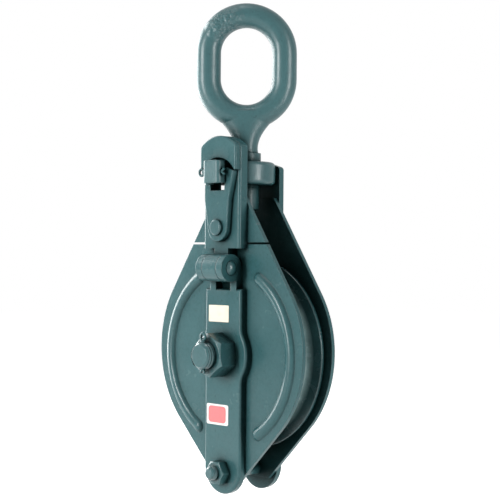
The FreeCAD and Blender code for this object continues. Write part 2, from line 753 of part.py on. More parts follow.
def make_gate_strap():
    """Upper front strap: slot for the lug at the top, the hinge's middle knuckle at the bottom."""
    body = new_body("gate_strap_body")
    crown = ("gate_crown", "0", "crown_middle", True)
    bar = [("strap_half", "gate_corner"), ("strap_half", "gate_end"), ("-strap_half", "gate_end"),
           ("-strap_half", "gate_corner", crown)]
    last = pad(body, outline(body, "gate_strap_bar", "XZ_Plane", "cheek_out", bar), "gate_thickness")
    last = round_edges(body, last, "crown_corner", crown_edge("gate_corner"))
    face = -number("gate_out")
    round_edges(body, last, "strap_round",
                lambda edge: lies_at(edge, "Y", face) and edge.BoundBox.ZLength > 0.1)
    leaf = mirrored([("knuckle_half", "gate_end + strap_round"), ("knuckle_half", "hinge_height")])
    leaf_sketch = outline(body, "gate_leaf", "XZ_Plane", "cheek_out + hinge_gap", leaf)
    pad(body, leaf_sketch, "gate_thickness - hinge_gap")
    knuckle = disc(body, "gate_knuckle", "YZ_Plane", "-knuckle_half", ("-hinge_front", "hinge_height"),
                   "knuckle_rad")
    pad(body, knuckle, "knuckle_width")
    bore_through(body, disc(body, "gate_hinge_bore", "YZ_Plane", "0", ("-hinge_front", "hinge_height"),
                            "hinge_bore"))
    slot = mirrored([("slot_half", "slot_top"), ("slot_half", "slot_low")])
    bore_through(body, outline(body, "gate_slot", "XZ_Plane", "0", slot))
    bore_through(body, disc(body, "gate_rivet_hole", "XZ_Plane", "0", ("0", "latch_height"), "rivet_bore"))
    finish(body, "gate_strap")


def make_gate_cap():
    """Doubling plate on the gate's head, arched over the lug and the latch's swing."""
    body = new_body("gate_cap_body")
    crown = ("gate_crown", "0", "crown_middle", True)
    arch = ("arch_radius", "0", "arch_middle", False)
    corners = [("strap_half", "gate_corner"), ("strap_half", "arch_end"), ("arch_half", "arch_end", arch),
               ("-arch_half", "arch_end"), ("-strap_half", "arch_end"), ("-strap_half", "gate_corner", crown)]
    last = pad(body, outline(body, "gate_cap_plate", "XZ_Plane", "gate_out", corners), "cap_thickness")
    last = round_edges(body, last, "crown_corner", crown_edge("gate_corner"))
    face = -number("cap_front")
    crown_top = number("gate_top")
    round_edges(body, last, "cap_round",
                lambda edge: lies_at(edge, "Y", face) and abs(edge.BoundBox.ZMax - crown_top) < 1e-3)
    finish(body, "gate_cap")


def make_crosshead():
    """Forged round boss that carries the swivel, with a lug in front and a tenon behind."""
    body = new_body("crosshead_body")
    side = ("cross_radius", "0", "0", False)
    block = [("cross_front_half", "-cross_front", side), ("cross_back_half", "cheek_out"),
             ("-cross_back_half", "cheek_out", side), ("-cross_front_half", "-cross_front")]
    last = pad(body, outline(body, "crosshead_block", "XY_Plane", "cross_low", block), "cross_height")
    back = number("cheek_out")
    low = number("cross_low")
    top = number("cross_top")
    round_edges(body, last, "cross_round",
                lambda edge: (lies_at(edge, "Z", low) or lies_at(edge, "Z", top))
                and not lies_at(edge, "Y", back))
    neck = mirrored([("neck_half", "cross_top"), ("neck_half", "cross_top - neck_height")])
    pad(body, outline(body, "crosshead_neck", "XZ_Plane", "0.5*cross_front", neck),
        "lug_front - 0.5*cross_front")
    head = mirrored([("lug_half", "lug_top"), ("lug_half", "lug_low")])
    last = pad(body, outline(body, "crosshead_lug", "XZ_Plane", "lug_back", head), "lug_thickness")
    lug_face = -number("lug_front")
    half = number("lug_half")
    last = round_edges(body, last, "lug_round",
                       lambda edge: runs_along(edge, "Z") and abs(edge.BoundBox.YMin - lug_face) < 1e-3
                       and abs(abs(edge.BoundBox.XMin) - half) < 1e-3)
    tenon = mirrored([("tenon_half - run_gap", "tenon_low + tenon_height - run_gap"),
                      ("tenon_half - run_gap", "tenon_low + run_gap")])
    pad(body, outline(body, "crosshead_tenon", "XZ_Plane", "-strap_out - tenon_proud", tenon),
        "strap_thickness + tenon_proud + cross_round")
    bore_through(body, disc(body, "crosshead_bore", "XY_Plane", "0", ("0", "0"), "stem_bore"))
    bore_through(body, disc(body, "crosshead_lock_hole", "YZ_Plane", "0", ("-lock_front", "lock_height"),
                            "split_bore"))
    finish(body, "crosshead")


def make_latch():
    """Latch lever: its finger stands behind the lug's head and keeps the gate shut."""
    body = new_body("latch_body")
    corners = [("latch_foot", "latch_height"), ("latch_waist", "latch_waist_z"),
               ("finger_out", "finger_out_z"), ("finger_tip", "finger_tip_z"), ("finger_in", "notch_z"),
               ("-horn_in", "notch_z"), ("-horn_in", "horn_z"), ("-latch_left", "horn_z"),
               ("-latch_left", "latch_waist_z"), ("-latch_foot", "latch_height")]
    pad(body, outline(body, "latch_blade", "XZ_Plane", "latch_back", corners), "latch_thickness")
    foot = disc(body, "latch_round", "XZ_Plane", "latch_back", ("0", "latch_height"), "latch_foot")
    last = pad(body, foot, "latch_thickness")
    face = -number("latch_front")
    round_edges(body, last, "latch_edge", lambda edge: lies_at(edge, "Y", face))
    bore_through(body, disc(body, "latch_hole", "XZ_Plane", "0", ("0", "latch_height"), "rivet_bore"))
    finish(body, "latch_lever")


def make_latch_rivet():
    """Rivet that the latch turns on, with a flat bevelled head in front."""
    shank = rod("latch_rivet_shank", "rivet_rad", "latch_front + slide_gap - cheek_in",
                ("0", "-cheek_in", "latch_height"), FORWARD)
    head = rod("latch_rivet_head", "0.5*rivet_head_dia", "rivet_head_height - rivet_bevel",
               ("0", "-latch_front - slide_gap", "latch_height"), FORWARD)
    rim = {"Radius1": "0.5*rivet_head_dia", "Radius2": "0.5*rivet_head_dia - rivet_bevel",
           "Height": "rivet_bevel"}
    rim_front = "-latch_front - slide_gap - rivet_head_height + rivet_bevel"
    bevel = primitive("Cone", "latch_rivet_bevel", rim, ("0", rim_front, "latch_height"), FORWARD)
    finish(fuse("latch_rivet_whole", [shank, head, bevel]), "latch_rivet")


def make_hinge_pin():
    """Hinge pin along X with a low round head at each end."""
    shank = rod("hinge_pin_shank", "hinge_rad", "2*barrel_half + 2*hinge_gap",
                ("-barrel_half - hinge_gap", "-hinge_front", "hinge_height"), SIDEWAYS)
    heads = []
    for word, sign in (("right", ""), ("left", "-")):
        turn = FreeCAD.Rotation(FreeCAD.Vector(0, 1, 0), -90 if sign else 90)
        flip = "+" if sign else "-"
        base = "%sbarrel_half %s hinge_gap %s hinge_head_sink" % (sign, "-" if sign else "+", flip)
        heads.append(dome("hinge_pin_head_" + word, (base, "-hinge_front", "hinge_height"), turn))
    finish(fuse("hinge_pin_whole", [shank] + heads), "hinge_pin")


def make_eye():
    """Forged eye: an oval ring on a flared neck, a shank and a thinner stem."""
    parts = []
    for word, level, angle in (("low", "eye_arc_low", 180), ("high", "eye_arc_high", 0)):
        turn = FORWARD.multiply(FreeCAD.Rotation(FreeCAD.Vector(0, 0, 1), angle))
        arc = primitive("Torus", "eye_arc_" + word, {"Radius1": "eye_side", "Radius2": "bar_rad"},
                        ("0", "0", level), turn)
        arc.Angle3 = 180
        parts.append(arc)
    for word, side in (("left", "-"), ("right", "")):
        foot = (side + "eye_side", "0", "eye_arc_low")
        parts.append(rod("eye_bar_" + word, "bar_rad", "eye_straight", foot, UPRIGHT))
    ring = fuse("eye_ring", parts)
    sections = []
    for word, wide, deep, level in (("foot", "shank_rad", "shank_rad", "collar_high"),
                                    ("shank", "shank_rad", "shank_rad", "flare_low"),
                                    ("waist", "neck_waist", "shank_rad + neck_ease", "flare_mid"),
                                    ("crown", "neck_flare", "bar_rad - neck_ease", "flare_high")):
        sections.append(primitive("Ellipse", "eye_neck_" + word, {"MajorRadius": wide, "MinorRadius": deep},
                                  ("0", "0", level)))
    neck = doc.addObject("Part::Loft", "eye_neck")
    neck.Sections = sections
    neck.Solid = True
    stem = rod("eye_stem", "stem_rad", "collar_high - stem_low", ("0", "0", "stem_low"), UPRIGHT)
    inside = primitive("Cylinder", "eye_inside", {"Radius": "0.5*eye_width", "Height": "2*bar_rad"},
                       ("0", "bar_rad", "eye_arc_low"), FORWARD)
    neck_clear = cut("eye_neck_clear", neck, [inside])
    whole = fuse("eye_whole", [ring, neck_clear, stem])
    drill = rod("eye_drill", "nut_pin_bore", "2*stem_rad", ("-stem_rad", "0", "nut_pin_z"), SIDEWAYS)
    finish(cut("eye_drilled", whole, [drill]), "eye_bolt", "eye_angle")


def make_swivel_rings():
    """Collar, thrust washer and pinned round nut on the eye's stem."""
    rings = (("eye_collar", "0.5*collar_dia", "collar_low", "collar_thickness"),
             ("thrust_washer", "0.5*washer_dia", "washer_low", "washer_thickness"),
             ("swivel_nut", "0.5*swivel_nut_dia", "swivel_low", "swivel_nut_height"))
    for label, radius, level, length in rings:
        outside = rod(label + "_outside", radius, length, ("0", "0", level), UPRIGHT)
        inside = rod(label + "_inside", "stem_bore", length, ("0", "0", level), UPRIGHT)
        tools = [inside]
        if label == "swivel_nut":
            tools.append(rod("swivel_nut_drill", "nut_pin_bore", "swivel_nut_dia",
                             ("-0.5*swivel_nut_dia", "0", "nut_pin_z"), SIDEWAYS))
        finish(cut(label + "_ring", outside, tools), label, "eye_angle")
    pin = rod("nut_pin_rod", "0.5*nut_pin_dia", "swivel_nut_dia", ("-0.5*swivel_nut_dia", "0", "nut_pin_z"),
              SIDEWAYS)
    blank = rod("nut_pin_blank", "0.5*swivel_nut_dia", "swivel_nut_height", ("0", "0", "swivel_low"), UPRIGHT)
    finish(common("nut_pin_flush", pin, blank), "nut_pin", "eye_angle")


def write_parts():
    """Check every object, then write each finished piece."""
    doc.recompute()
    for thing in doc.Objects:
        if "Invalid" in thing.State or "Error" in thing.State:
            raise ValueError("%s: %s" % (thing.Name, thing.State))
    for thing in finished:
        if thing.Shape.isNull() or not thing.Shape.isValid() or not thing.Shape.Solids:
            raise ValueError("bad shape: " + thing.Label)
    os.makedirs("parts", exist_ok=True)
    for thing in finished:
        thing.Shape.exportStep(os.path.join("parts", thing.Label + ".step"))
        print("%-18s solids %d volume %.0f" % (thing.Label, len(thing.Shape.Solids), thing.Shape.Volume))


add_head_sizes()
fill_sheet()
make_sheave()
make_tube("sheave_bush", "bush_rad", "pin_bore", ("sheave_half", "0"), "sheave_width")
make_bolt("centre_pin", "pin_rad", "head", "pin_end", "0", cross_hole=True)
make_nut("centre_nut", "nut", "pin_bore", "0", "30 + nut_angle")
make_split_pin("centre_split_pin", "pin_eye_at", "0", "pin_rad", False)
make_bolt("tie_bolt", "tie_rad", "tie_head", "tie_end", "-tie_drop", shoulder="tie_body_rad")
make_nut("tie_nut", "tie_nut", "tie_bore", "-tie_drop", "0")
make_rear_strap()
make_front_strap()
make_cheek("rear_cheek", ("peak_x", "cheek_peak"), 1)
make_cheek("front_cheek", ("split_low_x", "split_low"), -1)
make_gate_cheek()
make_gate_strap()
make_gate_cap()
make_crosshead()
make_latch()
make_latch_rivet()
make_hinge_pin()
make_split_pin("lock_split_pin", "lock_front", "lock_height", "lug_half", True)
make_eye()
make_swivel_rings()
write_parts()
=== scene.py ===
"""Looks of the snatch block: paint, labels, screw threads, floor, light and camera.

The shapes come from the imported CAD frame. The origin is the eye's hanging seat, +Z is up,
-Y is out of the hinged side plate, and lengths are in metres.
"""
import math

import bmesh
import bpy
from mathutils import Matrix, Vector


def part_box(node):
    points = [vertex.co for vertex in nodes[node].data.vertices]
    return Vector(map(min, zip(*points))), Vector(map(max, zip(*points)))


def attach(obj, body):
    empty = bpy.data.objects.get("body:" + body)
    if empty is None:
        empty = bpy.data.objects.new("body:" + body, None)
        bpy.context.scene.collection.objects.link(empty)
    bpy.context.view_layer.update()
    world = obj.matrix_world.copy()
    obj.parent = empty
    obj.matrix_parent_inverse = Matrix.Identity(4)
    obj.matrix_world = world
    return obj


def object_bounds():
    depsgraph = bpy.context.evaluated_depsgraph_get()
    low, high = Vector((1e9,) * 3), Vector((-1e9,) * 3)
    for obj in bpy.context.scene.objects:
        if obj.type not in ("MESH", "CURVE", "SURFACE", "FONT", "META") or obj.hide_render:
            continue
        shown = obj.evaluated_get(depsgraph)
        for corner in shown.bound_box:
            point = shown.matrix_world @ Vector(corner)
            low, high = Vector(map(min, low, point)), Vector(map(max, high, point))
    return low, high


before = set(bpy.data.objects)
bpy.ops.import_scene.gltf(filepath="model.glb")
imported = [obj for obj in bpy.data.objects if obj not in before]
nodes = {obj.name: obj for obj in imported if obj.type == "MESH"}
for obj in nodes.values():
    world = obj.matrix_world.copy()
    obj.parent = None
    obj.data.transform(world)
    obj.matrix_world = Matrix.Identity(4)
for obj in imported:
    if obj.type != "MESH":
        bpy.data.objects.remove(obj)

MM = 0.001
WHITE = (1.0, 1.0, 1.0, 1.0)
cad_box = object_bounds()
scene = bpy.context.scene

# Camera, matched to the photograph by the block's outline
VIEW_AZIMUTH = 46.46
VIEW_ELEVATION = -0.14
VIEW_ROLL = 0.456
VIEW_DISTANCE = 1.0719
AIM_ABOVE_SHEAVE = 82.2 * MM
AIM_TO_THE_RIGHT = 3.9 * MM
SENSOR_WIDTH = 36.0
LENS = 96.85
CLIP_NEAR = 0.05
CLIP_FAR = 50.0

# Colours, as linear values
TEAL = (0.032, 0.101, 0.109)
TEAL_LIGHT = (0.039, 0.115, 0.123)
# TEAL_DEEP is also the colour of the painted shade in corners
TEAL_DEEP = (0.012, 0.046, 0.050)
DEEP_SHADE = (0.003, 0.013, 0.013)
# Paler edge colour: partly paint wear, partly painted glints
PRIMER_AND_GLINT = (0.17, 0.27, 0.28)
# Paler band on the wheel's slopes: partly rope wear, partly a painted highlight
RIM_WEAR_AND_HIGHLIGHT = (0.24, 0.36, 0.36)
BRONZE = (0.47, 0.27, 0.10)
BRONZE_DARK = (0.2115, 0.1215, 0.045)
CREAM = (0.80, 0.75, 0.60)
CREAM_STAIN = (0.42, 0.36, 0.26)
PAPER = (0.82, 0.82, 0.80)
PAPER_STAIN = (0.40, 0.38, 0.34)
SIGN_RED = (0.66, 0.17, 0.175)
SIGN_STAIN = (0.462, 0.119, 0.1225)
FLOOR_PALE = (0.86, 0.86, 0.86)
FLOOR_PALER = (0.8772, 0.8772, 0.8772)

# Paints: noise scale and height of the steel's lumps, height of the paint's peel, range of roughness,
# radius of softened edges, share of paint wear and painted glint on them, and specular level
PLATE_PAINT = {"lumps": 55.0, "lump_height": 0.25 * MM, "peel": 0.05 * MM, "gloss": (0.19, 0.30),
               "soft": 0.8 * MM, "wear_and_glint": 0.65, "specular": 0.27}
FORGED_PAINT = {"lumps": 110.0, "lump_height": 0.30 * MM, "peel": 0.05 * MM, "gloss": (0.30, 0.40),
                "soft": 1.8 * MM, "wear_and_glint": 0.0, "specular": 0.50}
MACHINED_PAINT = {"lumps": 40.0, "lump_height": 0.10 * MM, "peel": 0.05 * MM, "gloss": (0.16, 0.26),
                  "soft": 0.7 * MM, "wear_and_glint": 0.6, "specular": 0.50}
PIN_PAINT = {"lumps": 60.0, "lump_height": 0.05 * MM, "peel": 0.02 * MM, "gloss": (0.19, 0.30),
             "soft": 0.3 * MM, "wear_and_glint": 0.0, "specular": 0.27}
# Threads take the most edge lightening: wear and painted glints on their crests
THREAD_PAINT = {"lumps": 60.0, "lump_height": 0.05 * MM, "peel": 0.02 * MM, "gloss": (0.14, 0.22),
                "soft": 0.25 * MM, "wear_and_glint": 0.9, "specular": 0.80}

# Patterns: noise scale and detail, the range of noise that is used, and what it maps to
CLOUDS = {"scale": 22.0, "detail": 4.0, "low": 0.35, "high": 0.68}
GRAIN = {"scale": 420.0, "detail": 3.0, "low": 0.45, "high": 0.85, "end": 0.35}
SPECKS = {"scale": 330.0, "detail": 2.0, "low": 0.70, "high": 0.74, "end": 0.55}
RUBBED_AND_GLINTING_EDGES = {"scale": 95.0, "detail": 5.0, "roughness": 0.7, "low": 0.50, "high": 0.62}
SHEEN = {"scale": 60.0, "detail": 4.0, "low": 0.3, "high": 0.75}
WHEEL_CLOUDS = {"scale": 40.0, "detail": 4.0, "low": 0.35, "high": 0.7}
WHEEL_SHEEN = {"scale": 90.0, "detail": 4.0, "low": 0.3, "high": 0.7, "start": 0.20, "end": 0.30}
ROPE_MARKS_AND_HIGHLIGHT = {"scale": 70.0, "detail": 4.0, "low": 0.30, "high": 0.62, "start": 0.45}
TARNISH = {"scale": 160.0, "detail": 5.0, "low": 0.38, "high": 0.66}
DIRT = {"scale": 150.0, "detail": 5.0, "roughness": 0.7, "low": 0.48, "high": 0.8, "end": 0.35}
FIBRE = {"scale": 1500.0, "detail": 2.0, "low": 0.3, "high": 0.8, "end": 0.12}
FLOOR_MOTTLE = {"scale": 6.0, "detail": 3.0, "low": 0.3, "high": 0.7}

# Noise scale and detail under the bumps, and heights that no paint names
PEEL = (900.0, 2.0)
HAMMERING = (230.0, 2.0)
WHEEL_CASTING = (90.0, 3.0)
WHEEL_CASTING_HEIGHT = 0.10 * MM
WHEEL_PEEL_HEIGHT = 0.04 * MM
SCRATCHES = (1100.0, 2.0)
SCRATCH_HEIGHT = 0.04 * MM
PAPER_GRAIN = (800.0, 2.0)
PAPER_GRAIN_HEIGHT = 0.02 * MM

# Corners by how open they are, for painted shade in corners and between the plates, and edges by the
# cosine of the angle that softening turns them
CORNERS = {"distance": 12 * MM, "open_from": 0.96, "shut_at": 0.55}
FINE_CORNERS = {"distance": 3 * MM, "open_from": 0.75, "shut_at": 0.3}
BETWEEN_PLATES = {"distance": 60 * MM, "open_from": 0.76, "shut_at": 0.46}
FLAT_FROM = 0.985
SHARP_AT = 0.80
CORNER_SHADE = 0.75
CORNER_DULLING = 0.18
DEEP_SPECULAR = 0.01
PROBE_SAMPLES = 6

# The wheel's paint, with the rubbed ring, partly rope wear and partly a painted highlight, given inwards
# from the rim
WHEEL_SPECULAR = 0.50
# Share of painted shade deep between the plates on the wheel
WHEEL_DEEPENING = 0.8
RUB_AND_HIGHLIGHT_INNER = (14.5 * MM, 12 * MM)
RUB_AND_HIGHLIGHT_OUTER = (11 * MM, 6 * MM)

# Roughness of clean and of marked bronze and paper
BRONZE_ROUGHNESS = (0.30, 0.52)
TARNISH_SHARE = 0.6
PAPER_ROUGHNESS = (0.42, 0.62)

# Hammered spot on the eye's upper left, from the swivel's axis and the eye's top
EYE_TURN = 46.0
SPOT_LEFT = 17.5 * MM
SPOT_FRONT = 9.8 * MM
SPOT_BELOW = 17 * MM
SPOT_REACH = 17 * MM
SPOT_HEIGHT = 3.0 * MM

# Labels on the lower front strap, in millimetres from the sheave's centre
CREAM_LABEL = {"middle": (-4.7, 32.0), "size": (23.2, 13.2), "corner": 0.8}
WHITE_LABEL = {"middle": (-5.3, -47.5), "size": (25.0, 16.2), "corner": 1.6}
RED_SIGN = {"middle": (-5.6, -47.4), "size": (20.0, 13.0), "corner": 2.8}
LABEL_THICKNESS = 0.15 * MM
LABEL_SINK = 0.05 * MM
LABEL_ROUNDING = 0.06 * MM
CORNER_STEPS = 6

# Screw threads that show past the nuts, in millimetres; the profile is in shares of pitch and depth
THREADS = (
    {"name": "centre_pin_thread", "bolt": "centre_pin", "nut": "centre_nut",
     "radius": 10.0, "pitch": 2.5, "depth": 0.55},
    {"name": "tie_bolt_thread", "bolt": "tie_bolt", "nut": "tie_nut",
     "radius": 5.0, "pitch": 1.5, "depth": 0.4},
)
THREAD_PROFILE = ((-0.46, -0.06), (-0.08, 1.0), (0.08, 1.0), (0.46, -0.06))
THREAD_STEPS = 48
THREAD_FADE_STEPS = 12
THREAD_END_GAP = 1.6

# Which nodes take which paint
PLATES = ("front_cheek", "rear_cheek", "gate_cheek", "front_strap", "rear_strap", "gate_strap",
          "gate_cap", "latch_lever")
FORGINGS = ("eye_bolt", "crosshead", "eye_collar", "swivel_nut")
FASTENERS = ("centre_pin", "centre_nut", "tie_bolt", "tie_nut", "hinge_pin", "latch_rivet")
PINS = ("centre_split_pin", "lock_split_pin", "nut_pin", "thrust_washer")

# Light; a lamp's azimuth is 0 in front of the hinged side and 90 to its right
WORLD_FILL = 0.08
LAMP_DISTANCE = 1.6
LAMPS = (
    {"name": "key_left", "azimuth": -84, "elevation": 8, "size": (1.3, 1.5), "power": 46},
    {"name": "strip_front", "azimuth": -14, "elevation": 10, "size": (0.19, 0.9), "power": 22},
    {"name": "strip_right", "azimuth": 97, "elevation": 8, "size": (0.14, 0.9), "power": 15},
    {"name": "top_soft", "azimuth": 0, "elevation": 78, "size": (0.6, 0.6), "power": 4},
)

# Floor
FLOOR_LIFT = 0.93
FLOOR_DROP = 90 * MM
FLOOR_SIZE = 9.0
FLOOR_CELLS = 8

# Sockets of a Mix node that is set to colour
MIX_SHARE = 0
MIX_FIRST = 6
MIX_SECOND = 7
MIX_RESULT = 2


def middle(node):
    """Centre of a CAD node's box."""
    low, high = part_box(node)
    return (low + high) / 2


def add(tree, kind, **values):
    """New node; names of inputs and of plain settings are given together."""
    node = tree.nodes.new("ShaderNode" + kind)
    for key, value in values.items():
        name = key.replace("_", " ")
        if name in node.inputs:
            node.inputs[name].default_value = value
        else:
            setattr(node, key, value)
    return node


def join(tree, source, target):
    """Link two sockets."""
    tree.links.new(source, target)


def new_tree(owner, output):
    """Emptied node tree of a material or world, with its output node."""
    owner.use_nodes = True
    tree = owner.node_tree
    tree.nodes.clear()
    return tree, tree.nodes.new(output)


def new_material(name, **settings):
    """New material with its tree, its shader and the object's coordinates."""
    material = bpy.data.materials.new(name)
    tree, output = new_tree(material, "ShaderNodeOutputMaterial")
    shader = add(tree, "BsdfPrincipled", **settings)
    join(tree, shader.outputs["BSDF"], output.inputs["Surface"])
    return material, tree, shader, add(tree, "TexCoord").outputs["Object"]


def noise(tree, place, scale, detail=3.0, roughness=0.55):
    """Noise texture's value at a scale given in features per metre."""
    node = add(tree, "TexNoise", Scale=scale, Detail=detail, Roughness=roughness)
    join(tree, place, node.inputs["Vector"])
    return node.outputs["Fac"]


def ramp(tree, value, low, high, start=0.0, end=1.0):
    """Map low..high of a value to start..end, clamped."""
    node = add(tree, "MapRange", clamp=True)
    for name, number in (("From Min", low), ("From Max", high), ("To Min", start), ("To Max", end)):
        node.inputs[name].default_value = number
    join(tree, value, node.inputs["Value"])
    return node.outputs["Result"]


def pattern(tree, place, scale, detail, low, high, start=0.0, end=1.0, roughness=0.55):
    """Noise with low..high mapped to start..end."""
    return ramp(tree, noise(tree, place, scale, detail, roughness), low, high, start, end)


def blend(tree, share, first, second):
    """Mix of two colours; either may be a socket."""
    node = add(tree, "Mix", data_type="RGBA")
    for socket, colour in ((node.inputs[MIX_FIRST], first), (node.inputs[MIX_SECOND], second)):
        if isinstance(colour, tuple):
            socket.default_value = (*colour, 1.0)
        else:
            join(tree, colour, socket)
    join(tree, share, node.inputs[MIX_SHARE])
    return node.outputs[MIX_RESULT]


def calculate(tree, operation, first, second=0.0):
    """Math node on two sockets or numbers."""
    node = add(tree, "Math", operation=operation)
    for socket, value in zip(node.inputs, (first, second)):
        if isinstance(value, (int, float)):
            socket.default_value = value
        else:
            join(tree, value, socket)
    return node.outputs[0]


def bump(tree, height, distance, normal=None):
    """Bump from a height socket, on top of another normal."""
    node = add(tree, "Bump", Strength=1.0, Distance=distance)
    join(tree, height, node.inputs["Height"])
    if normal:
        join(tree, normal, node.inputs["Normal"])
    return node.outputs["Normal"]


def edge_wear_and_glint(tree, radius):
    """How much a point lies on an edge, where paint wear and painted glints go, and the rounded normal
    there.
    """
    soft = add(tree, "Bevel", samples=PROBE_SAMPLES, Radius=radius)
    plain = add(tree, "NewGeometry")
    cosine = add(tree, "VectorMath", operation="DOT_PRODUCT")
    join(tree, soft.outputs["Normal"], cosine.inputs[0])
    join(tree, plain.outputs["Normal"], cosine.inputs[1])
    return ramp(tree, cosine.outputs["Value"], FLAT_FROM, SHARP_AT), soft.outputs["Normal"]


def crevice(tree, distance, open_from, shut_at):
    """How much a point lies in a corner, by occlusion: this sets painted shade, duller gloss and the
    bronze's tarnish there.
    """
    node = add(tree, "AmbientOcclusion", samples=PROBE_SAMPLES, Distance=distance)
    return ramp(tree, node.outputs["AO"], open_from, shut_at)


def hammer(tree, place, spot, normal):
    """Dents round one spot, on top of another normal."""
    near = add(tree, "VectorMath", operation="DISTANCE")
    join(tree, place, near.inputs[0])
    near.inputs[1].default_value = spot
    mask = ramp(tree, near.outputs["Value"], SPOT_REACH, SPOT_REACH / 2)
    dents = calculate(tree, "MULTIPLY", noise(tree, place, *HAMMERING), mask)
    return bump(tree, dents, SPOT_HEIGHT, normal)


def paint_colour(tree, place, corner, edge, wear_and_glint):
    """Clouded teal with grain and specks, with painted shade in corners and paler edges, partly paint
    wear and partly painted glints.
    """
    colour = blend(tree, pattern(tree, place, **CLOUDS), TEAL, TEAL_LIGHT)
    for marks in (GRAIN, SPECKS):
        colour = blend(tree, pattern(tree, place, **marks), colour, TEAL_DEEP)
    # Painted shade: darker teal in corners
    colour = blend(tree, calculate(tree, "MULTIPLY", corner, CORNER_SHADE), colour, TEAL_DEEP)
    # Painted glints and paint wear: paler colour on rubbed edges
    rubbed_and_highlit = calculate(tree, "MULTIPLY", edge, pattern(tree, place, **RUBBED_AND_GLINTING_EDGES))
    return blend(tree, calculate(tree, "MULTIPLY", rubbed_and_highlit, wear_and_glint), colour, PRIMER_AND_GLINT)


def paint_deep_shade(tree, colour, depth, share=1.0):
    """Painted shade: darker colour deep between the plates, where little light reaches."""
    return blend(tree, calculate(tree, "MULTIPLY", depth, share), colour, DEEP_SHADE)


def enamel(name, lumps, lump_height, peel, gloss, soft, wear_and_glint, specular, spot=None):
    """Glossy teal paint over steel, duller and with painted shade in corners and deep between the
    plates.
    """
    material, tree, shader, place = new_material(name)
    corner = crevice(tree, **CORNERS)
    depth = crevice(tree, **BETWEEN_PLATES)
    edge, normal = edge_wear_and_glint(tree, soft)
    colour = paint_colour(tree, place, corner, edge, wear_and_glint)
    # Painted shade deep between the plates, with less specular there
    join(tree, paint_deep_shade(tree, colour, depth), shader.inputs["Base Color"])
    shader.inputs["Specular IOR Level"].default_value = specular
    join(tree, ramp(tree, depth, 0.0, 1.0, specular, DEEP_SPECULAR), shader.inputs["Specular IOR Level"])
    shine = pattern(tree, place, start=gloss[0], end=gloss[1], **SHEEN)
    dulled = calculate(tree, "MULTIPLY", corner, CORNER_DULLING)
    join(tree, calculate(tree, "ADD", shine, dulled), shader.inputs["Roughness"])
    normal = bump(tree, noise(tree, place, lumps), lump_height, normal)
    if spot:
        normal = hammer(tree, place, spot, normal)
    join(tree, bump(tree, noise(tree, place, *PEEL), peel, normal), shader.inputs["Normal"])
    return material


def rubbed_and_highlit_ring(tree, place):
    """How much a point lies on the wheel's slopes, where the rope rubs and a painted highlight lies."""
    centre = middle("sheave")
    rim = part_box("sheave")[1].z - centre.z
    split = add(tree, "SeparateXYZ")
    join(tree, place, split.inputs["Vector"])
    squares = []
    for axis, start in (("X", centre.x), ("Z", centre.z)):
        offset = calculate(tree, "SUBTRACT", split.outputs[axis], start)
        squares.append(calculate(tree, "POWER", offset, 2.0))
    radius = calculate(tree, "SQRT", calculate(tree, "ADD", *squares))
    inner = ramp(tree, radius, rim - RUB_AND_HIGHLIGHT_INNER[0], rim - RUB_AND_HIGHLIGHT_INNER[1])
    outer = ramp(tree, radius, rim - RUB_AND_HIGHLIGHT_OUTER[0], rim - RUB_AND_HIGHLIGHT_OUTER[1], 1.0, 0.0)
    return calculate(tree, "MULTIPLY", inner, outer)


def wheel_paint(name):
    """Glossy teal paint on the wheel, darker than on the plates as painted shade, with painted shade
    deep between the plates, and paler on the slopes as rope wear and a painted highlight.
    """
    material, tree, shader, place = new_material(name)
    # Painted shade: the wheel's teal is darker than the plates' teal
    colour = blend(tree, pattern(tree, place, **WHEEL_CLOUDS), TEAL_DEEP, TEAL)
    colour = paint_deep_shade(tree, colour, crevice(tree, **BETWEEN_PLATES), WHEEL_DEEPENING)
    # Painted highlight and rope wear: paler band on the slopes
    rubbed_and_highlit = calculate(tree, "MULTIPLY", rubbed_and_highlit_ring(tree, place), pattern(tree, place, **ROPE_MARKS_AND_HIGHLIGHT))
    join(tree, blend(tree, rubbed_and_highlit, colour, RIM_WEAR_AND_HIGHLIGHT), shader.inputs["Base Color"])
    shader.inputs["Specular IOR Level"].default_value = WHEEL_SPECULAR
    join(tree, pattern(tree, place, **WHEEL_SHEEN), shader.inputs["Roughness"])
    normal = bump(tree, noise(tree, place, *WHEEL_CASTING), WHEEL_CASTING_HEIGHT)
    normal = bump(tree, noise(tree, place, *PEEL), WHEEL_PEEL_HEIGHT, normal)
    join(tree, normal, shader.inputs["Normal"])
    return material


def bronze(name):
    """Bare bronze with darker patches and fine scratches."""
    material, tree, shader, place = new_material(name, Metallic=1.0)
    patches = pattern(tree, place, **TARNISH)
    spread = calculate(tree, "MULTIPLY", patches, TARNISH_SHARE)
    stain = calculate(tree, "MAXIMUM", spread, crevice(tree, **FINE_CORNERS))
    join(tree, blend(tree, stain, BRONZE, BRONZE_DARK), shader.inputs["Base Color"])
    join(tree, ramp(tree, patches, 0.0, 1.0, *BRONZE_ROUGHNESS), shader.inputs["Roughness"])
    join(tree, bump(tree, noise(tree, place, *SCRATCHES), SCRATCH_HEIGHT), shader.inputs["Normal"])
    return material


def paper(name, colour, stain):
    """Label paper with faint fibre and dirt, which dulls it."""
    material, tree, shader, place = new_material(name)
    dirt = pattern(tree, place, **DIRT)
    share = calculate(tree, "ADD", dirt, pattern(tree, place, **FIBRE))
    join(tree, blend(tree, share, colour, stain), shader.inputs["Base Color"])
    join(tree, ramp(tree, dirt, 0.0, DIRT["end"], *PAPER_ROUGHNESS), shader.inputs["Roughness"])
    join(tree, bump(tree, noise(tree, place, *PAPER_GRAIN), PAPER_GRAIN_HEIGHT), shader.inputs["Normal"])
    return material


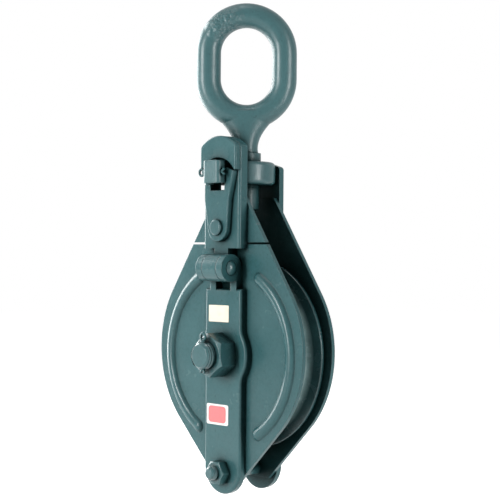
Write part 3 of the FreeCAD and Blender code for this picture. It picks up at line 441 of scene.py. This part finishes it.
def seen_directly(tree):
    """True for rays that see the background: straight, mirrored or through glass."""
    path = add(tree, "LightPath")
    first = calculate(tree, "MAXIMUM", path.outputs["Is Camera Ray"], path.outputs["Is Glossy Ray"])
    return calculate(tree, "MAXIMUM", first, path.outputs["Is Transmission Ray"])


def floor_material():
    """Pale matt floor, lifted to white for rays that see it as background."""
    material = bpy.data.materials.new("floor_pale")
    tree, output = new_tree(material, "ShaderNodeOutputMaterial")
    place = add(tree, "TexCoord").outputs["Object"]
    base = add(tree, "BsdfDiffuse")
    mottle = pattern(tree, place, **FLOOR_MOTTLE)
    join(tree, blend(tree, mottle, FLOOR_PALE, FLOOR_PALER), base.inputs["Color"])
    lift = add(tree, "Emission", Color=WHITE)
    join(tree, calculate(tree, "MULTIPLY", seen_directly(tree), FLOOR_LIFT), lift.inputs["Strength"])
    both = add(tree, "AddShader")
    join(tree, base.outputs["BSDF"], both.inputs[0])
    join(tree, lift.outputs["Emission"], both.inputs[1])
    join(tree, both.outputs["Shader"], output.inputs["Surface"])
    return material


def make_floor(level):
    """Plain pale floor that still takes the block's shadow."""
    mesh = bpy.data.meshes.new("floor")
    shape = bmesh.new()
    bmesh.ops.create_grid(shape, x_segments=FLOOR_CELLS, y_segments=FLOOR_CELLS, size=FLOOR_SIZE / 2)
    shape.to_mesh(mesh)
    shape.free()
    mesh.materials.append(floor_material())
    floor = bpy.data.objects.new("floor", mesh)
    floor.location.z = level
    scene.collection.objects.link(floor)


def make_world():
    """White background for the eye, a plain soft fill for the light."""
    world = bpy.data.worlds.new("studio")
    scene.world = world
    tree, output = new_tree(world, "ShaderNodeOutputWorld")
    light = add(tree, "Background", Color=WHITE, Strength=WORLD_FILL)
    white = add(tree, "Background", Color=WHITE, Strength=1.0)
    mixed = add(tree, "MixShader")
    join(tree, seen_directly(tree), mixed.inputs[0])
    join(tree, light.outputs["Background"], mixed.inputs[1])
    join(tree, white.outputs["Background"], mixed.inputs[2])
    join(tree, mixed.outputs["Shader"], output.inputs["Surface"])


def direction(azimuth, elevation):
    """Unit vector from the block towards that angle; azimuth 0 is -Y and 90 is +X."""
    turn = math.radians(azimuth)
    rise = math.radians(elevation)
    return Vector((math.sin(turn) * math.cos(rise), -math.cos(turn) * math.cos(rise), math.sin(rise)))


def make_lamp(name, azimuth, elevation, size, power):
    """Soft rectangular lamp that faces the middle of the block."""
    data = bpy.data.lights.new(name, "AREA")
    data.shape = "RECTANGLE"
    data.size, data.size_y = size
    data.energy = power
    towards = direction(azimuth, elevation)
    lamp = bpy.data.objects.new(name, data)
    lamp.location = (cad_box[0] + cad_box[1]) / 2 + towards * LAMP_DISTANCE
    lamp.rotation_mode = "QUATERNION"
    lamp.rotation_quaternion = towards.to_track_quat("Z", "Y")
    scene.collection.objects.link(lamp)


def make_camera():
    """Camera at the photograph's angle, with its slight roll."""
    back = direction(VIEW_AZIMUTH, VIEW_ELEVATION)
    right = direction(VIEW_AZIMUTH + 90, 0)
    up = back.cross(right)
    target = middle("sheave") + Vector((0, 0, AIM_ABOVE_SHEAVE)) + right * AIM_TO_THE_RIGHT
    data = bpy.data.cameras.new("photo_camera")
    data.sensor_width = SENSOR_WIDTH
    data.lens = LENS
    data.clip_start = CLIP_NEAR
    data.clip_end = CLIP_FAR
    camera = bpy.data.objects.new("photo_camera", data)
    facing = Matrix((right, up, back)).transposed()
    rolled = facing @ Matrix.Rotation(math.radians(VIEW_ROLL), 3, "Z")
    camera.matrix_world = Matrix.Translation(target + back * VIEW_DISTANCE) @ rolled.to_4x4()
    scene.collection.objects.link(camera)
    scene.camera = camera


def new_piece(name, shape, material):
    """Turn a bmesh into a named piece that rides on the body called frame."""
    bmesh.ops.recalc_face_normals(shape, faces=shape.faces)
    mesh = bpy.data.meshes.new(name)
    shape.to_mesh(mesh)
    shape.free()
    mesh.materials.append(material)
    piece = bpy.data.objects.new(name, mesh)
    scene.collection.objects.link(piece)
    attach(piece, "frame")


def rounded_outline(width, height, corner):
    """Points of a rectangle with round corners, about its middle."""
    points = []
    for turn, (side, rise) in enumerate(((1, 1), (-1, 1), (-1, -1), (1, -1))):
        for step in range(CORNER_STEPS + 1):
            angle = math.radians(90 * (turn + step / CORNER_STEPS))
            points.append((side * (width / 2 - corner) + corner * math.cos(angle),
                           rise * (height / 2 - corner) + corner * math.sin(angle)))
    return points


def make_label(name, label, material, lift=0.0):
    """Thin label with a rounded rim on the lower front strap's face, or lifted off that face."""
    centre = middle("sheave")
    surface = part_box("centre_nut")[1].y - lift
    shoulder = LABEL_THICKNESS - LABEL_ROUNDING
    width, height = (length * MM for length in label["size"])
    across, up = (length * MM for length in label["middle"])
    shape = bmesh.new()
    rings = []
    for inset, proud in ((0.0, -LABEL_SINK), (0.0, shoulder), (LABEL_ROUNDING, LABEL_THICKNESS)):
        outline = rounded_outline(width - 2 * inset, height - 2 * inset, label["corner"] * MM)
        rings.append([shape.verts.new((centre.x + across + x, surface - proud, centre.z + up + z))
                      for x, z in outline])
    for outer, inner in zip(rings, rings[1:]):
        for step in range(len(outer)):
            shape.faces.new((outer[step - 1], outer[step], inner[step], inner[step - 1]))
    shape.faces.new(rings[-1])
    new_piece(name, shape, material)


def make_thread(name, bolt, nut, radius, pitch, depth, material):
    """Helical ridge on the end of a bolt, from its nut's face to its chamfer."""
    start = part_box(nut)[0].y
    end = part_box(bolt)[0].y + THREAD_END_GAP * MM
    centre = middle(nut)
    steps = round((start - end) / (pitch * MM) * THREAD_STEPS)
    shape = bmesh.new()
    sections = []
    for step in range(steps + 1):
        angle = math.tau * step / THREAD_STEPS
        along = start - (start - end) * step / steps
        fade = min(1.0, step / THREAD_FADE_STEPS, (steps - step) / THREAD_FADE_STEPS)
        section = []
        for side, rise in THREAD_PROFILE:
            reach = (radius + rise * depth * (fade if rise > 0 else 1.0)) * MM
            section.append(shape.verts.new((centre.x + reach * math.cos(angle),
                                            along + side * pitch * MM,
                                            centre.z + reach * math.sin(angle))))
        sections.append(section)
    for first, second in zip(sections, sections[1:]):
        for side in range(len(first) - 1):
            shape.faces.new((first[side], first[side + 1], second[side + 1], second[side]))
    new_piece(name, shape, material)


def hammered_spot():
    """Where the eye's upper left is marked."""
    spot = direction(EYE_TURN, 0) * SPOT_FRONT + direction(EYE_TURN - 90, 0) * SPOT_LEFT
    spot.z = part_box("eye_bolt")[1].z - SPOT_BELOW
    return spot


def paint_nodes():
    """Give every CAD node its finish."""
    finishes = (
        (enamel("enamel_plate", **PLATE_PAINT), PLATES),
        (enamel("enamel_forged", spot=hammered_spot(), **FORGED_PAINT), FORGINGS),
        (enamel("enamel_machined", **MACHINED_PAINT), FASTENERS),
        (enamel("enamel_pins", **PIN_PAINT), PINS),
        (wheel_paint("enamel_sheave"), ("sheave",)),
        (bronze("bronze_bush"), ("sheave_bush",)),
    )
    for material, names in finishes:
        for name in names:
            for slot in nodes[name].material_slots:
                slot.material = material


def make_labels():
    """Bare cream label, and a white one with a plain red sign on it."""
    make_label("cream_label", CREAM_LABEL, paper("label_cream", CREAM, CREAM_STAIN))
    make_label("white_label", WHITE_LABEL, paper("label_white", PAPER, PAPER_STAIN))
    make_label("red_sign", RED_SIGN, paper("sign_red", SIGN_RED, SIGN_STAIN), LABEL_THICKNESS)


def make_threads():
    """Screw threads past the two nuts, painted over, with crests paler as paint wear and painted glints.
    """
    material = enamel("enamel_thread", **THREAD_PAINT)
    for thread in THREADS:
        make_thread(material=material, **thread)


def light_studio():
    """Soft key and two slim strips round the camera, a weak light from above and a faint fill."""
    make_world()
    for lamp in LAMPS:
        make_lamp(**lamp)
    make_floor(cad_box[0].z - FLOOR_DROP)


make_camera()
paint_nodes()
make_labels()
make_threads()
light_studio()
scene.view_settings.view_transform = "Standard"
